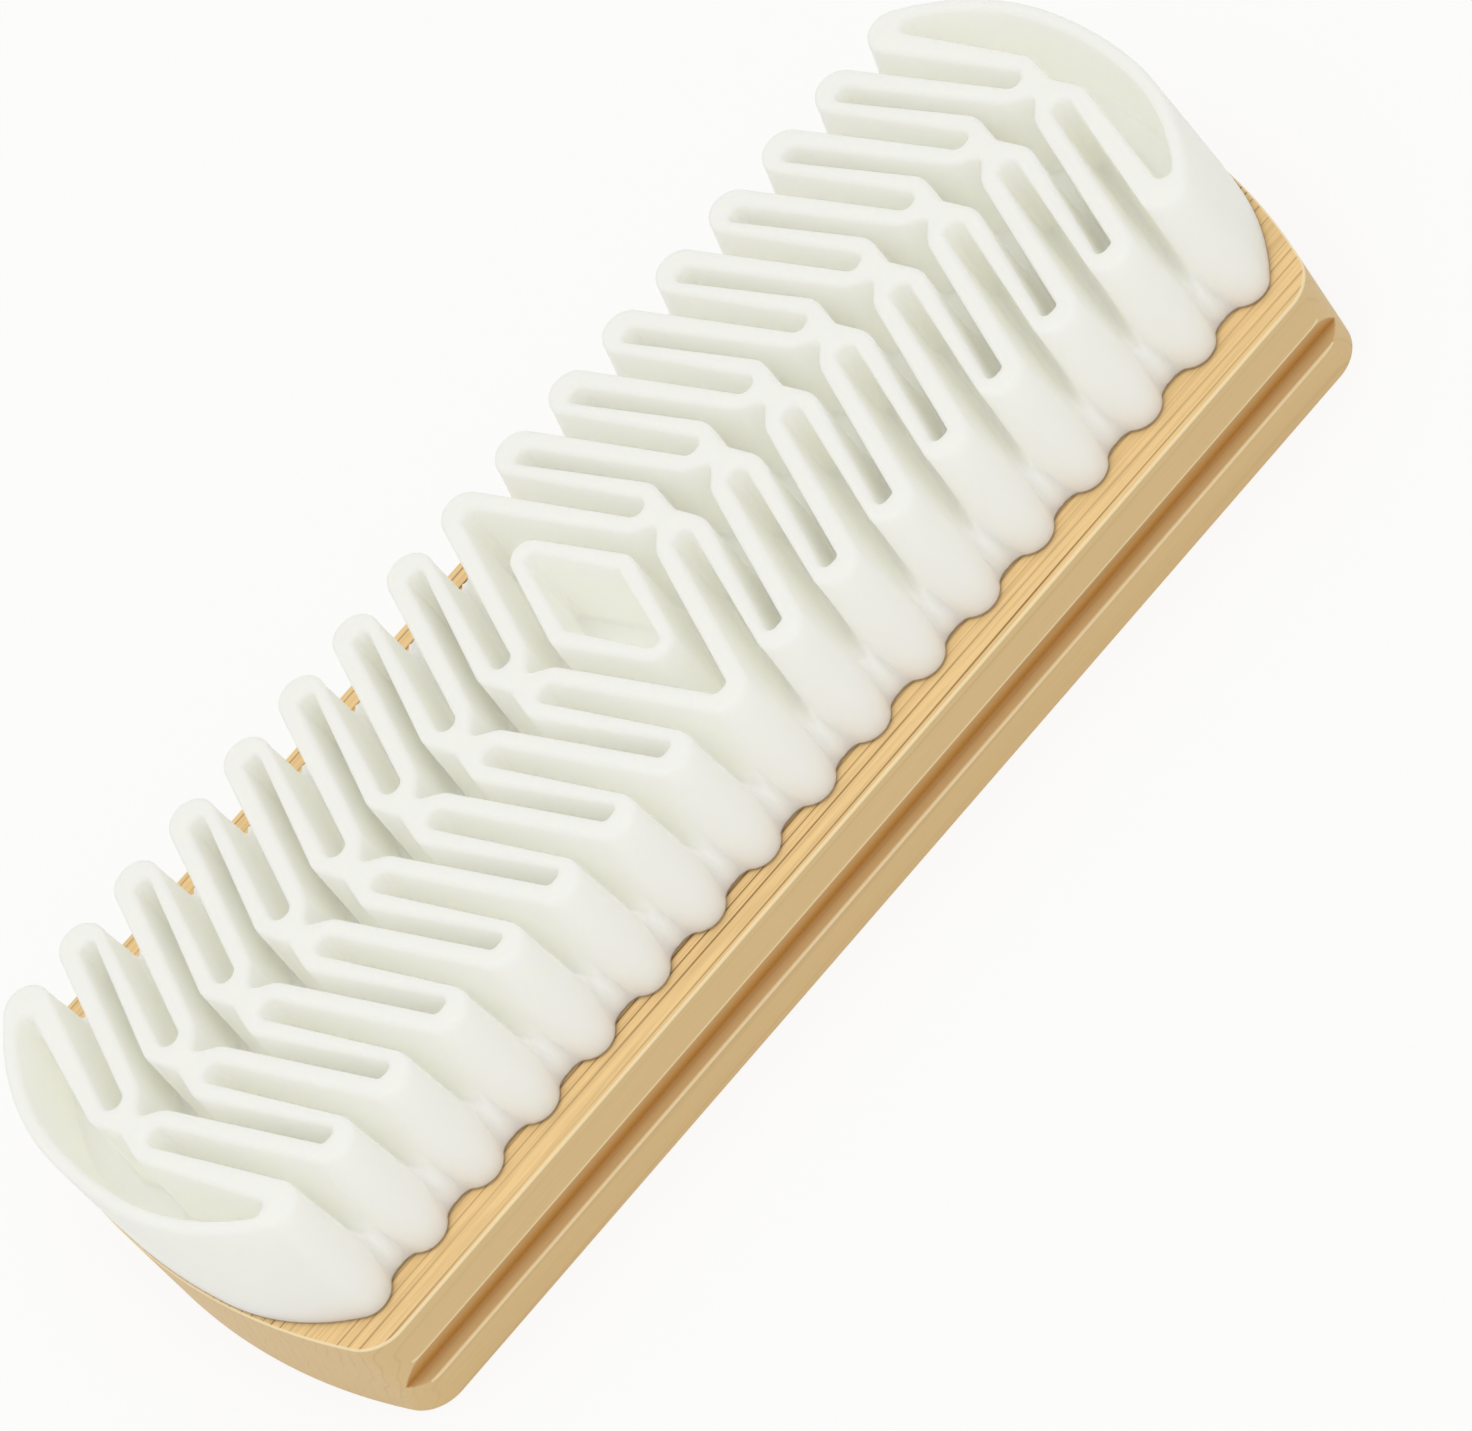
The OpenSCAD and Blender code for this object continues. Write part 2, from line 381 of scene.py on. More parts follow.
class PadShape:
    """The pad's outlines at any height, from its sizes and the frame.

    depth is 0 at the rims and 1 at the foot. Fins lean outwards from the rim to the foot, and
    walls thicken by the draft.
    """
    RIM_ROWS, WALL_ROWS, FILLET_ROWS = 5, 8, 7
    # Points along half a pocket: round the fin's tip, along the web's foot, up the web's face,
    # in along the floor, and round the pocket's inner end.
    TIP, WEB_FOOT, FACE, FLOOR, INNER = 9, 7, 10, 13, 8

    def __init__(self, sizes):
        self.s = sizes
        self.foot_z, self.rim_z = PAD_LOW[2], PAD_HIGH[2]
        self.loop_end, foot_reach = PAD_HIGH[:2]
        self.tip_reach = foot_reach - sizes.flare
        self.web_reach = foot_reach - sizes.web_setback
        self.end_x = (sizes.side_fins + 1) * sizes.pitch
        self.pocket_y = sizes.pocket_reach + sizes.pocket_radius

    def depth(self, z):
        """0 at the rims' height and 1 at the foot's."""
        return (self.rim_z - z) / (self.rim_z - self.foot_z)

    def lean(self, z):
        """How far the tips have moved out at height z: straight at first, upright at the foot."""
        bend = 0.15
        d = np.clip(self.depth(z), 0, 1)
        return self.s.flare * ((1 + bend) * d - bend * d ** ((1 + bend) / bend))

    def tip_r(self, z):
        """Radius of the tip circles: it swells to its most at 0.7 of the depth, then shrinks."""
        d, widest = self.depth(z), 0.7
        share = smooth(d / widest) - smooth((d - widest) / (1 - widest))
        return self.s.tip_radius + self.s.swell * share

    def tip_y(self, z):
        """Distance of the tip circles' centres from the middle."""
        return self.tip_reach + self.lean(z) - self.tip_r(z)

    def straight_rows(self, z_low, fillet):
        """Heights down a wall, the inset that rounds its rim, and the fillet's share.

        The rim is a quarter circle, the wall is straight, and the fillet is a quarter ellipse
        that ends level at z_low.
        """
        z_low = np.atleast_1d(z_low).astype(float)
        rim, lower = quarter_turn(self.RIM_ROWS), quarter_turn(self.FILLET_ROWS)
        rim_radius = self.s.rim
        top = self.rim_z - rim_radius * (1 - np.cos(rim))
        inset = rim_radius * (1 - np.sin(rim))
        start = (z_low + fillet)[:, None]
        share = np.linspace(0, 1, self.WALL_ROWS + 1)[1:-1]
        wall = top[-1] + (start - top[-1]) * share
        foot = z_low[:, None] + np.atleast_1d(fillet)[:, None] * (1 - np.sin(lower))
        z = np.concatenate([np.broadcast_to(top, (len(z_low), len(top))), wall, foot], axis=1)
        inset = np.concatenate([inset, np.zeros(z.shape[1] - len(inset))])
        closing = np.concatenate([np.zeros(z.shape[1] - len(lower)), 1 - np.cos(lower)])
        return z, inset, closing

    def pocket_nodes(self, z):
        """Nodes of the outline from one fin tip in and round a pocket's end to the next tip."""
        s = self.s
        zero, one = np.zeros_like(z), np.ones_like(z)
        tip_y, tip_r = -self.tip_y(z), self.tip_r(z)
        hollow = -(s.pocket_radius - s.draft * self.depth(z))
        first = np.stack([zero, tip_y, tip_r])
        inner = np.stack([s.pocket_lead * one, -self.pocket_y * one, hollow])
        last = np.stack([s.pitch * one, tip_y, tip_r])
        inwards, outwards = direction(inner - first), direction(last - inner)
        outwards = outwards - FULL_TURN * (outwards > 0)
        apex = -QUARTER * one
        return np.stack([
            np.stack([*first, apex]), np.stack([*first, inwards]),
            np.stack([*inner, inwards]), np.stack([*inner, outwards]),
            np.stack([*last, outwards]), np.stack([*last, apex]),
        ])

    def flank(self, path, z, grow=0.0):
        """Points of the pocket's walls at path, each at its own heights z."""
        nodes = self.pocket_nodes(z)
        at = np.clip(np.floor(path).astype(int), 0, len(nodes) - 2)
        column = np.arange(len(path))
        low, high = nodes[at, :, column], nodes[at + 1, :, column]
        return between(low, high, (path - at)[:, None, None], grow)

    def half_path(self, turned, face_end):
        """Places along a flank from a fin's tip in to the middle of the pocket's inner end.

        turned is the angle by which the outline turns round the tip before its straight. The
        web's foot leaves the tip's bump at 55 degrees, the web's face begins at 72 degrees and
        ends at face_end.
        """
        foot, face = math.radians(55) / turned, math.radians(72) / turned
        ends = [0, foot, min(face, 1), face_end, 2]
        steps = [self.TIP, self.WEB_FOOT, self.FACE, self.FLOOR]
        runs = [np.linspace(*run, endpoint=False) for run in zip(ends, ends[1:], steps)]
        return np.concatenate([*runs, np.linspace(2, 2.5, self.INNER)])

    def pocket(self):
        """One pocket's skin from tip to tip, as a grid of points.

        Down a column the point follows the fin's flank, and then a fillet carries it to where
        the flank's opposite comes down too. That end lies on the foot's outline round the bump,
        along the web's foot to the pocket's middle line, up the web's face, in along its top and
        the pocket's floor, and at the centre of the pocket's inner end.
        """
        nodes = self.pocket_nodes(np.array([self.foot_z]))
        near = self.half_path(nodes[1, 3, 0] + QUARTER, face_end=1.06)
        far = 5 - self.half_path(-nodes[4, 3, 0] - QUARTER, face_end=1.02)
        middle = np.array([self.s.pitch / 2, -self.web_reach])
        ends, low, fillet = self.middle_line(middle)
        z_low = np.concatenate([np.full(self.TIP + self.WEB_FOOT, self.foot_z), low])
        # The fillet is 0.2 of the web's at the tip, and half of it where the web's foot begins.
        soft = np.concatenate([np.linspace(0.2, 0.5, self.TIP, endpoint=False) * fillet[0],
                               np.linspace(0.5, 1, self.WEB_FOOT, endpoint=False) * fillet[0],
                               fillet])
        z, inset, closing = self.straight_rows(z_low, soft)
        grids = []
        for path in (near, far):
            foot = np.stack(self.flank(path, z_low[:, None]), axis=-1)[:, 0]
            end = np.concatenate([foot[:self.TIP], self.web_curve(path[self.TIP], middle), ends])
            x, y = self.flank(path, z, -inset)
            shift = end - foot
            grids.append(np.stack([
                x + shift[:, :1] * closing, y + shift[:, 1:] * closing, z], axis=-1))
        return np.concatenate([grids[0], grids[1][-2::-1]])

    def web_curve(self, place, middle):
        """Foot of the web: it leaves the flank at place, curves in and runs to the middle.

        It is a parabola whose control point lies ahead along the flank, level with the middle.
        """
        nearby = np.array([place, place + 0.001])
        first, ahead = np.stack(self.flank(nearby, np.full((2, 1), self.foot_z)), axis=-1)[:, 0]
        along_flank = ahead - first
        bend = first + along_flank * (middle[1] - first[1]) / along_flank[1]
        t = np.linspace(0, 1, self.WEB_FOOT, endpoint=False)[:, None]
        return first * (1 - t) ** 2 + 2 * bend * t * (1 - t) + middle * t ** 2

    def middle_line(self, middle):
        """The line that both flanks of a pocket come down to: its points, heights and fillets.

        It is a quarter of a superellipse up the web's face and over onto its top, then runs in
        along the floor, which dips over its first third, to the centre of the pocket's inner
        end. The fillet beside it is widest at the web's foot.
        """
        s = self.s
        inner = np.array([s.pocket_lead, -self.pocket_y])
        exponent, widest, narrowest = 2.6, 3.0, 1.25
        a = np.linspace(0, QUARTER, self.FACE, endpoint=False)
        face_y = middle[1] + s.web_run * (1 - np.cos(a) ** (2 / exponent))
        face_z = self.foot_z + s.pocket_floor * np.sin(a) ** (2 / exponent)
        t = np.linspace(0, 1, self.FLOOR, endpoint=False)
        floor_y = middle[1] + s.web_run + (inner[1] - middle[1] - s.web_run) * t
        floor_z = self.foot_z + s.pocket_floor - s.pocket_dip * smooth(3 * t)
        y = np.concatenate([face_y, floor_y, np.full(self.INNER, inner[1])])
        z = np.concatenate([face_z, floor_z, np.full(self.INNER, floor_z[-1])])
        mouth = -self.tip_y(z)
        share = np.clip((y - mouth) / (inner[1] - mouth), 0, 1)
        x = middle[0] + (inner[0] - middle[0]) * share
        return np.stack([x, y], axis=-1), z, np.linspace(widest, narrowest, len(x)) * s.fillet

    def loop_circles(self, z):
        """The circles of the right end loop at height z: its end, the turn behind it and the
        last front tip, each a (centre x, centre y, radius).

        The turn touches both of the others from inside: its centre lies where a circle about
        the end's centre and one about the tip's centre meet.
        """
        s = self.s
        d = np.clip(self.depth(z), 0, 1)
        bow = s.loop_bow + (s.foot_bow - s.loop_bow) * d
        turn = s.loop_turn + (s.foot_turn - s.loop_turn) * d
        end = self.loop_end - s.loop_lean * d ** 2 - bow
        tip_y, tip_r = self.tip_y(z), self.tip_r(z)
        reach, drop = self.end_x - end, tip_y
        gap = np.hypot(reach, drop)
        near, far = bow - turn, turn - tip_r
        on = (near ** 2 - far ** 2 + gap ** 2) / (2 * gap)
        off = np.sqrt(near ** 2 - on ** 2)
        turn_x = end + (on * reach + off * drop) / gap
        turn_y = -(on * drop - off * reach) / gap
        return (end, 0 * end, bow), (turn_x, turn_y, turn), (self.end_x + 0 * end, -tip_y, tip_r)

    def end_skin(self):
        """The right end loop's outside from the last front tip round to the last back tip."""
        z, inset, _ = self.straight_rows(self.foot_z, self.s.fillet)
        z = z[0]
        end, turn, tip = self.loop_circles(z)
        at_turn = np.arctan2(tip[1] - turn[1], tip[0] - turn[0])
        at_end = np.arctan2(turn[1], turn[0] - end[0])
        half = [(*tip, -QUARTER + 0 * z), (*tip, at_turn), (*turn, at_turn), (*turn, at_end),
                (*end, at_end)]
        back = [(x, -y, radius, -angle) for x, y, radius, angle in reversed(half)]
        nodes = np.array(half + back)
        # The arcs touch, so that there are no straights between them.
        arcs = [2 * i + np.arange(steps) / steps for i, steps in enumerate((8, 24, 40, 24, 8))]
        x, y = along(nodes, np.concatenate([*arcs, [9]]), -inset)
        return np.stack([x, y, np.broadcast_to(z, x.shape)], axis=-1)

    def outside(self):
        """The whole outer skin, counter-clockwise from the far left tip of the front."""
        s = self.s
        one = self.pocket()
        shifts = np.arange(s.side_fins + 1) * s.pitch
        right = [one[:-1] + np.array([shift, 0, 0]) for shift in shifts]
        left = [(one * np.array([-1, 1, 1]) - np.array([shift, 0, 0]))[:0:-1] for shift in shifts]
        front = np.concatenate(left[::-1] + right)
        end = self.end_skin()
        half = np.concatenate([front, end[:-1]])
        return np.concatenate([half, half * np.array([-1, -1, 1])])

    def hole(self, corners, arc_steps, straight_steps, floor_z, widen=-1):
        """Skin of a slot, hollow or post: its outline drafted and rounded down to floor_z.

        corners holds (x, y, radius) rows, counter-clockwise. widen is -1 for a hollow, which
        narrows towards its floor, and 1 for a post, which widens towards its foot. The fillet
        is 0.7 of the full one, or less where a hollow's tightest corner would keep under 5 % of
        its radius.
        """
        fillet = 0.7 * self.s.fillet
        z, inset, closing = self.straight_rows(floor_z, fillet)
        z = z[0]
        if widen < 0:
            tightest = min(radius for _, _, radius in corners if radius > 0)
            fillet = min(fillet, 0.95 * tightest - self.s.draft * self.depth(floor_z))
        rounds = np.array(corners)[:, :, None] * np.ones_like(z)
        grow = widen * (self.s.draft * self.depth(z) - inset + fillet * closing)
        x, y = along(nodes_round(rounds), path_round(arc_steps, straight_steps), grow)
        return np.stack([x, y, np.broadcast_to(z, x.shape)], axis=-1)


def mirror_x(corners):
    """The same outline on the other half of the brush, still counter-clockwise."""
    return [(-x, y, radius) for x, y, radius in reversed(corners)]


def slot_corners(shape, fin, left_loop=True):
    """Corner circles of one V slot: two at each outer end, and the loops of wall that bulge
    into it on both sides of the middle with a notch between them.

    Without left_loop its left side mirrors the right one, as round the diamond.
    """
    s = shape.s
    x = fin * s.pitch
    half = s.slot_width / 2 - s.slot_round
    end = s.slot_reach - s.slot_round
    loop = x + s.pocket_lead
    tight_notch, wide_notch = 0.8 * MM, 1.4 * MM
    right = [
        (loop, -shape.pocket_y, -s.loop_radius),
        (x + s.neck_far - s.neck_width - tight_notch, 0, tight_notch),
        (loop, shape.pocket_y, -s.loop_radius),
    ]
    left = [
        (loop - s.pitch, shape.pocket_y, -s.loop_radius),
        (x + s.neck_far - s.pitch + wide_notch, 0, wide_notch),
        (loop - s.pitch, -shape.pocket_y, -s.loop_radius),
    ]
    front = [(x - half, -end, s.slot_round), (x + half, -end, s.slot_round)]
    back = [(x + half, end, s.slot_round), (x - half, end, s.slot_round)]
    if not left_loop:
        left = mirror_x(right)
    return front + right + back + left


def end_corners(shape):
    """Corner circles of the right end loop's inside: its wall in from the loop's circles, a
    small corner at each tip, and the last slot's left side."""
    s = shape.s
    end, turn, _ = ([float(v) for v in circle] for circle in shape.loop_circles(shape.rim_z))
    inner = turn[2] - s.loop_wall
    corner, short_of_slots = 1.0 * MM, 0.3 * MM
    corner_y = s.slot_reach - corner - short_of_slots
    corner_x = turn[0] + math.sqrt((inner - corner) ** 2 - (corner_y + turn[1]) ** 2)
    return [
        (corner_x, -corner_y, corner), (turn[0], turn[1], inner),
        (end[0], 0, end[2] - s.loop_wall), (turn[0], -turn[1], inner),
        (corner_x, corner_y, corner), *slot_corners(shape, s.side_fins + 1)[-3:],
    ]


def diamond_corners(shape, wall, radius):
    """Corner circles of the diamond, or of its hollow when wall is its wall."""
    s = shape.s
    x = s.diamond_lead - wall - radius
    y = s.diamond_reach - wall - radius
    return [(0, -y, radius), (x, 0, radius), (0, y, radius), (-x, 0, radius)]


def both_halves(corners, arcs, straights):
    """An outline with its steps, and the same outline mirrored onto the other half.

    The straight after corner i comes before it in the mirrored outline, so the last stays last.
    """
    mirrored = straights[-2::-1] + straights[-1:]
    return [(corners, arcs, straights), (mirror_x(corners), arcs[::-1], mirrored)]


def rubber_pad_shell(sizes):
    """The pad as one closed surface: outer skin, slots, diamond, end loops, rims and floors."""
    shape = PadShape(sizes)
    shell = Shell()
    slot_z = shape.foot_z + sizes.slot_floor
    outside = shell.grid(shape.outside())

    # Steps round each corner circle of a slot, and along the straight after it. A straight along
    # X or Y has one, because points in line would leave its cap triangles without an area.
    arcs, straights = [6, 6, 9, 6, 9, 6, 6, 9, 6, 9], [1, 6, 2, 2, 6, 1, 6, 2, 2, 6]
    holes = []
    for fin in range(1, sizes.side_fins + 1):
        holes += both_halves(slot_corners(shape, fin), arcs, straights)
    end_arcs, end_straights = [10, 20, 30, 20, 10, 9, 6, 9], [1, 1, 1, 1, 6, 2, 2, 6]
    holes += both_halves(end_corners(shape), end_arcs, end_straights)
    tops = []
    for corners, arc_steps, straight_steps in holes:
        hole = shell.grid(shape.hole(corners, arc_steps, straight_steps, slot_z), flip=True)
        shell.cap([hole[:, -1]])
        tops.append(hole[:, 0])

    ring_outline = slot_corners(shape, 0, left_loop=False)
    ring = shell.grid(shape.hole(ring_outline, arcs, straights, slot_z), flip=True)
    diamond_steps = [12] * 4, [6] * 4
    post_outline = diamond_corners(shape, 0, sizes.diamond_round)
    post = shell.grid(shape.hole(post_outline, *diamond_steps, slot_z, widen=1))
    shell.cap([ring[:, -1], post[:, -1]])
    hollow_outline = diamond_corners(shape, sizes.diamond_wall, sizes.hollow_round)
    hollow = shell.grid(shape.hole(hollow_outline, *diamond_steps, slot_z), flip=True)
    shell.cap([hollow[:, -1]])
    shell.cap([post[:, 0], hollow[:, 0]])
    shell.cap([outside[:, 0], *tops, ring[:, 0]])

    # The webs' feet lie on the same level as the fins', and the rest of the last row is higher.
    foot, level = outside[:, -1], 0.0001 * MM
    points = np.concatenate(shell.points)
    shell.cap([foot[points[foot, 2] < shape.foot_z + level]], up=False)
    return shell


def groove_depth(sizes, z):
    """Depth of the groove at heights z: a short ledge and a long slope.

    It is the mean of nine depths over the softened width, which rounds the corners.
    """
    spread = np.linspace(-0.5, 0.5, 9)[:, None] * sizes.groove_soft + z
    ledge = (spread - sizes.groove_rise) / sizes.groove_ledge
    slope = sizes.groove_rise + sizes.groove_height - spread
    slope = slope / (sizes.groove_height - sizes.groove_ledge)
    return (sizes.groove_depth * np.clip(np.minimum(ledge, slope), 0, 1)).mean(axis=0)


def mark_block(block, sizes):
    """Writes three shares to the block's points: side is 1 below the top arris, where the sides take painted shade and
    faint grain lines; groove is 1 along the groove's deepest line and less towards its lips, and sets the painted
    shade in the groove; and edge is 1 on sanded edges, where a painted highlight goes.

    The ledge below the deepest line looks up into the light, so its painted shade falls off faster.
    """
    mesh, near, lip_highlight_width = block.data, 0.01 * MM, 0.12 * MM
    points = np.empty(3 * len(mesh.vertices))
    mesh.vertices.foreach_get("co", points)
    _, y, z = points.reshape(-1, 3).T
    depth = groove_depth(sizes, z)
    grooved = np.abs(y) > BLOCK_HIGH[1] - depth - near
    side = np.clip((BLOCK_HIGH[2] - z) / sizes.arris, 0, 1)
    above = z > sizes.groove_rise + sizes.groove_ledge
    inside = np.clip(depth / sizes.groove_depth, 0, 1)
    # Painted shade in the groove: strong on the upper flank, which faces down, and fading fast on the ledge.
    groove = np.where(above, 0.55 + 0.45 * inside, 0.3 + 0.7 * inside ** 3)
    groove = groove * np.clip(8 * inside, 0, 1) * grooved
    # Painted highlights on the top arris and along both lips of the groove.
    edge = (z > BLOCK_HIGH[2] - sizes.arris) & (z < BLOCK_HIGH[2] - near)
    on_side = np.abs(y) > BLOCK_HIGH[1] - 2 * sizes.groove_soft
    for lip in (sizes.groove_rise, sizes.groove_rise + sizes.groove_height):
        edge = np.maximum(edge, np.clip(1.5 - np.abs(z - lip) / lip_highlight_width, 0, 1) * on_side)
    for name, values in (("side", side), ("groove", groove), ("edge", edge)):
        share = mesh.attributes.new(name, "FLOAT", "POINT")
        share.data.foreach_set("value", values.astype(np.float32))


def wooden_block_shell(sizes):
    """The block as one closed surface: its bowed outline carried down a profile with sanded
    arrises and a groove.

    The groove is cut along the brush, so at each height no point lies further from the middle
    than the groove's depth allows.
    """
    half_length, half_width, top = BLOCK_HIGH
    end_radius = (half_width ** 2 + sizes.end_bow ** 2) / (2 * sizes.end_bow)
    end_x = half_length - end_radius
    corner_y = half_width - sizes.corner_radius
    corner_x = end_x + math.sqrt((end_radius - sizes.corner_radius) ** 2 - corner_y ** 2)
    arris, turn, row = sizes.arris, quarter_turn(6), 0.08 * MM
    groove_top = sizes.groove_rise + sizes.groove_height
    margin = 3 * sizes.groove_soft
    fine = np.arange(groove_top + margin, sizes.groove_rise - margin, -row)
    # A row close to each arris keeps the flat sides' shading flat.
    close = 1.4 * arris
    fine = np.concatenate([[top - close], fine, [close]])
    z = np.concatenate([top - arris * (1 - np.cos(turn)), fine, arris * (1 - np.sin(turn))])
    inset = np.concatenate([arris * (1 - np.sin(turn)), 0 * fine, arris * (1 - np.cos(turn))])
    depth = groove_depth(sizes, z)

    rounds = np.array([
        (corner_x, -corner_y, sizes.corner_radius), (end_x, 0, end_radius),
        (corner_x, corner_y, sizes.corner_radius), (-corner_x, corner_y, sizes.corner_radius),
        (-end_x, 0, end_radius), (-corner_x, -corner_y, sizes.corner_radius)])
    # Steps round the corner, the bowed end and the next corner, and along their straights.
    path = path_round([40, 60, 40] * 2, [1, 1, 1] * 2)
    x, y = along(nodes_round(rounds[:, :, None] * np.ones_like(z)), path, -inset)
    limit = half_width - depth
    y = np.clip(y, -limit, limit)
    shell = Shell()
    skin = shell.grid(np.stack([x, y, np.broadcast_to(z, x.shape)], axis=-1))
    shell.cap([skin[:, 0]])
    shell.cap([skin[:, -1]], up=False)
    return shell


def mark_sharp(piece, degrees):
    """Keeps edges sharper than this angle crisp under smooth shading."""
    piece.data.set_sharp_from_angle(angle=math.radians(degrees))


def add_node(tree, kind, settings=None, links=None, values=None):
    """Adds a node: settings are its own, values its inputs' and links (input, output) pairs."""
    node = tree.nodes.new(kind)
    for name, value in (settings or {}).items():
        setattr(node, name, value)
    for name, value in (values or {}).items():
        node.inputs[name].default_value = value
    for name, output in (links or {}).items():
        tree.links.new(output, node.inputs[name])
    return node


def new_material(name):
    """An empty node material, and its tree."""
    material = bpy.data.materials.new(name)
    material.use_nodes = True
    material.node_tree.nodes.clear()
    return material, material.node_tree


def moulded_rubber(colours):
    """White moulded silicone rubber: matte with a soft sheen from the mould, and a little light
    passes through its walls, which warms the shade between the fins."""
    material, tree = new_material("moulded_white_rubber")
    place = add_node(tree, "ShaderNodeTexCoord").outputs["Object"]
    # Clouds about 11 mm across vary the tone and the sheen a little.
    cloud = add_node(tree, "ShaderNodeTexNoise", values={"Scale": 90.0, "Detail": 3.0},
                     links={"Vector": place})
    amount = add_node(tree, "ShaderNodeMapRange", values={"To Min": 0.0, "To Max": 0.35},
                      links={"Value": cloud.outputs["Fac"]})
    clean = add_node(tree, "ShaderNodeMix", {"data_type": "RGBA"},
                     values={6: colours.rubber, 7: colours.rubber_deep},
                     links={"Factor": amount.outputs["Result"]})
    # Painted contact shadow darkens the foot's edge over its lowest 0.2 mm.
    axes = add_node(tree, "ShaderNodeSeparateXYZ", links={"Vector": place})
    contact_shadow = add_node(tree, "ShaderNodeMapRange", values={
        "From Min": PAD_LOW[2] + 0.08 * MM, "From Max": PAD_LOW[2] + 0.25 * MM,
        "To Min": 0.75, "To Max": 0.0}, links={"Value": axes.outputs["Z"]})
    tone = add_node(tree, "ShaderNodeMix", {"data_type": "RGBA"}, values={7: colours.contact_shadow},
                    links={"Factor": contact_shadow.outputs["Result"], 6: clean.outputs[2]})
    matt = add_node(tree, "ShaderNodeMapRange", values={"To Min": 0.46, "To Max": 0.56},
                    links={"Value": cloud.outputs["Fac"]})
    # The mould's spark-eroded grain is about 0.15 mm, drawn at 0.4 mm so that it shows.
    grain = add_node(tree, "ShaderNodeTexNoise", values={"Scale": 1 / (0.4 * MM), "Detail": 2.0},
                     links={"Vector": place})
    bump = add_node(tree, "ShaderNodeBump", values={"Strength": 0.05, "Distance": 0.1 * MM},
                    links={"Height": grain.outputs["Fac"]})
    shader = add_node(tree, "ShaderNodeBsdfPrincipled", values={
        "Subsurface Weight": 0.8, "Subsurface Radius": (1.0, 1.0, 0.85),
        "Subsurface Scale": 2.5 * MM, "IOR": 1.42, "Specular IOR Level": 0.25},
        links={"Base Color": tone.outputs[2], "Roughness": matt.outputs["Result"],
               "Normal": bump.outputs["Normal"]})
    add_node(tree, "ShaderNodeOutputMaterial", links={"Surface": shader.outputs["BSDF"]})
    return material


